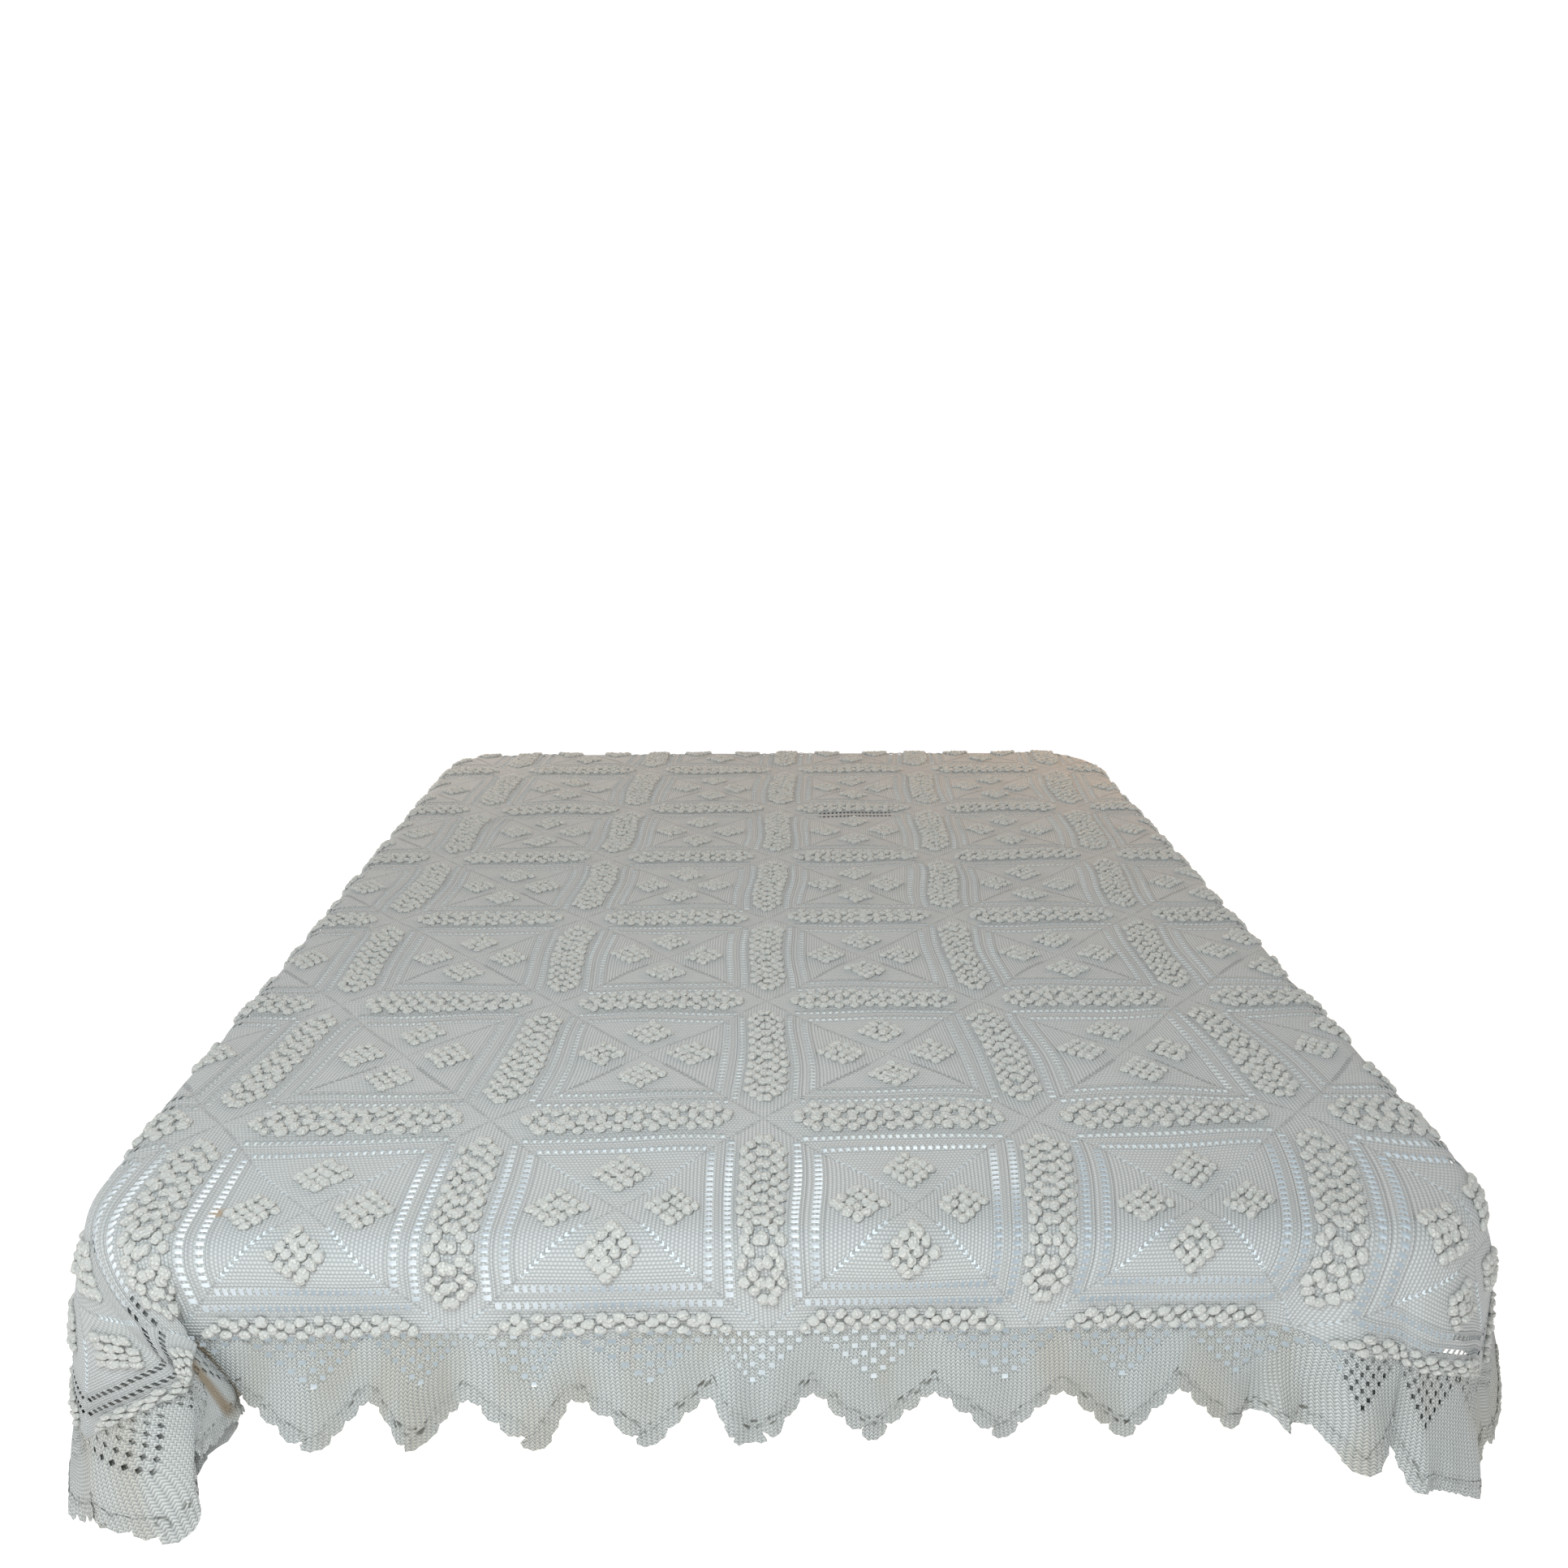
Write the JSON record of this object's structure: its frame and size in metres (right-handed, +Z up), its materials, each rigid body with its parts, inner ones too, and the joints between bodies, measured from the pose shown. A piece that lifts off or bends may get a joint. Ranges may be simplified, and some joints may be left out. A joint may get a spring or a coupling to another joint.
{
  "type": "crochet bedspread with pointed lace edging on a plain mattress and bed frame",
  "caption": "Cotton crochet bedspread of joined square blocks with a pointed lace edging, draped over a plain mattress on a slab bed frame with legs.",
  "frame": {"origin": "on the floor below the middle of the bed, at the middle leg's foot", "axes": "+X to the right as seen from the foot of the bed, +Y towards the head of the bed, +Z up"},
  "size_m": [1.7265, 2.1252, 0.5534],
  "materials": {
    "ecru_cotton": "matt crocheted cotton",
    "white_cover": "matt woven cotton",
    "pale_wood": "satin"
  },
  "bodies": {
    "root": {"bedspread_panel": "ecru_cotton", "lace_edging": "ecru_cotton", "mattress": "white_cover", "bed_frame": "pale_wood", "bed_leg_middle": "pale_wood", "bed_leg_foot_left": "pale_wood", "bed_leg_foot_right": "pale_wood", "bed_leg_head_left": "pale_wood", "bed_leg_head_right": "pale_wood"}
  },
  "joints": []
}
